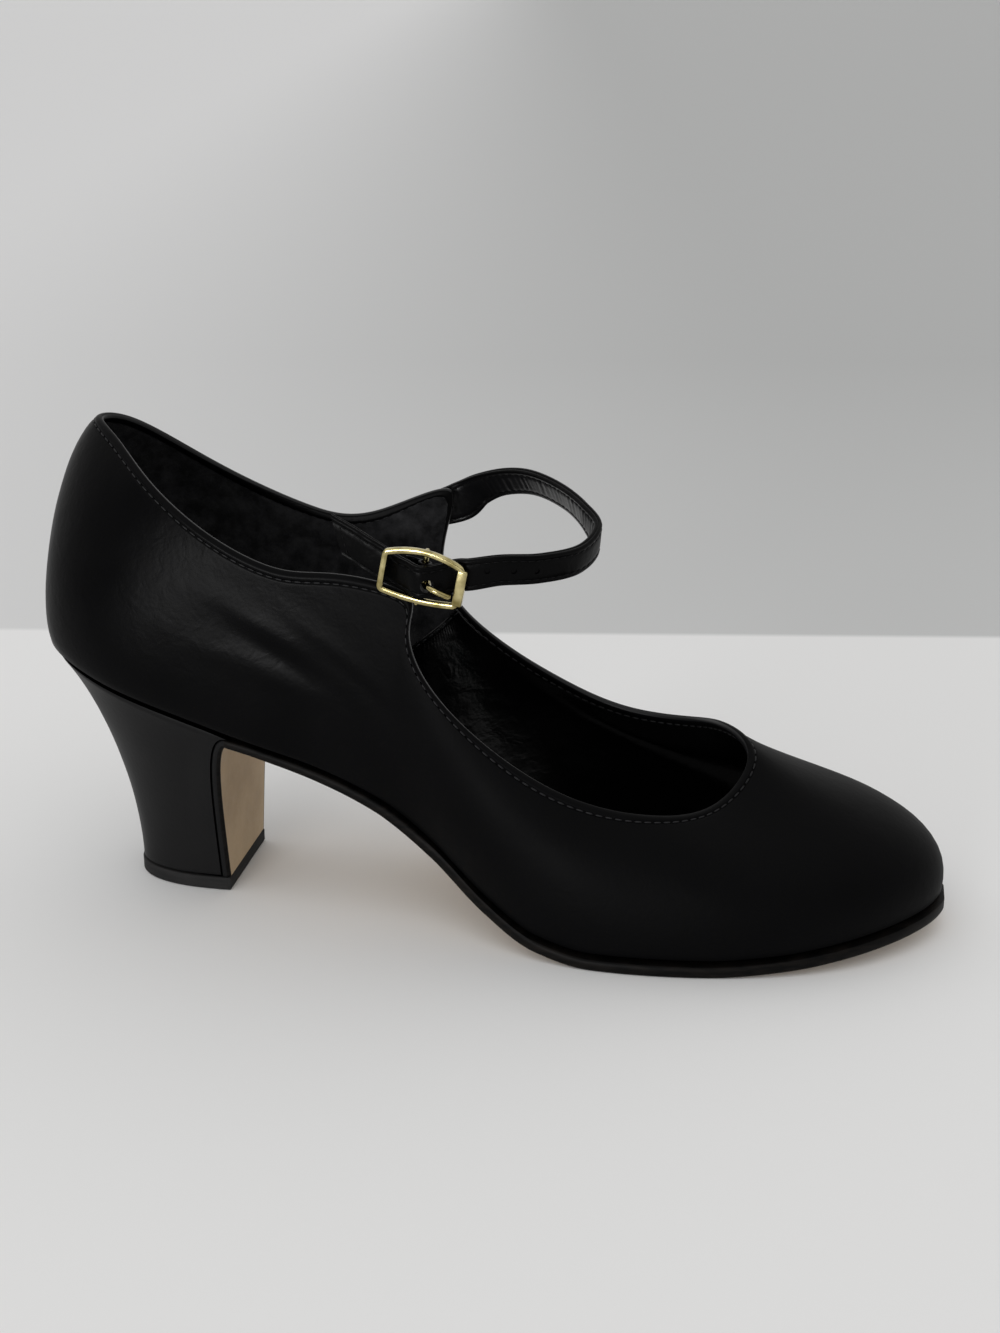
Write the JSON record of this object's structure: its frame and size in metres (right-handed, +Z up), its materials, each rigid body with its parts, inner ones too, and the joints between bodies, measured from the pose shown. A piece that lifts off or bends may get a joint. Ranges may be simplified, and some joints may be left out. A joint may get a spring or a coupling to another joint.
{
  "type": "character shoe",
  "caption": "Right-foot character shoe in black leather with a covered block heel, a leather sole and an instep strap fastened by a brass buckle",
  "frame": {"origin": "the middle of the heel's floor face, on the floor", "axes": "+X runs forward to the toe, +Y to the medial side of the foot, +Z up; the floor is z = 0"},
  "size_m": [0.2398, 0.0842, 0.1261],
  "materials": {
    "black_leather": "satin",
    "insole_leather": "glossy",
    "sole_leather": "matte",
    "black_rubber": "matte",
    "brass": "polished"
  },
  "bodies": {
    "root": {"upper": "black_leather", "insole": "insole_leather", "outsole": "sole_leather", "heel": "black_leather", "top_piece": "black_rubber", "strap": "black_leather", "buckle_tab": "black_leather", "buckle": "brass", "prong": "brass"}
  },
  "joints": []
}
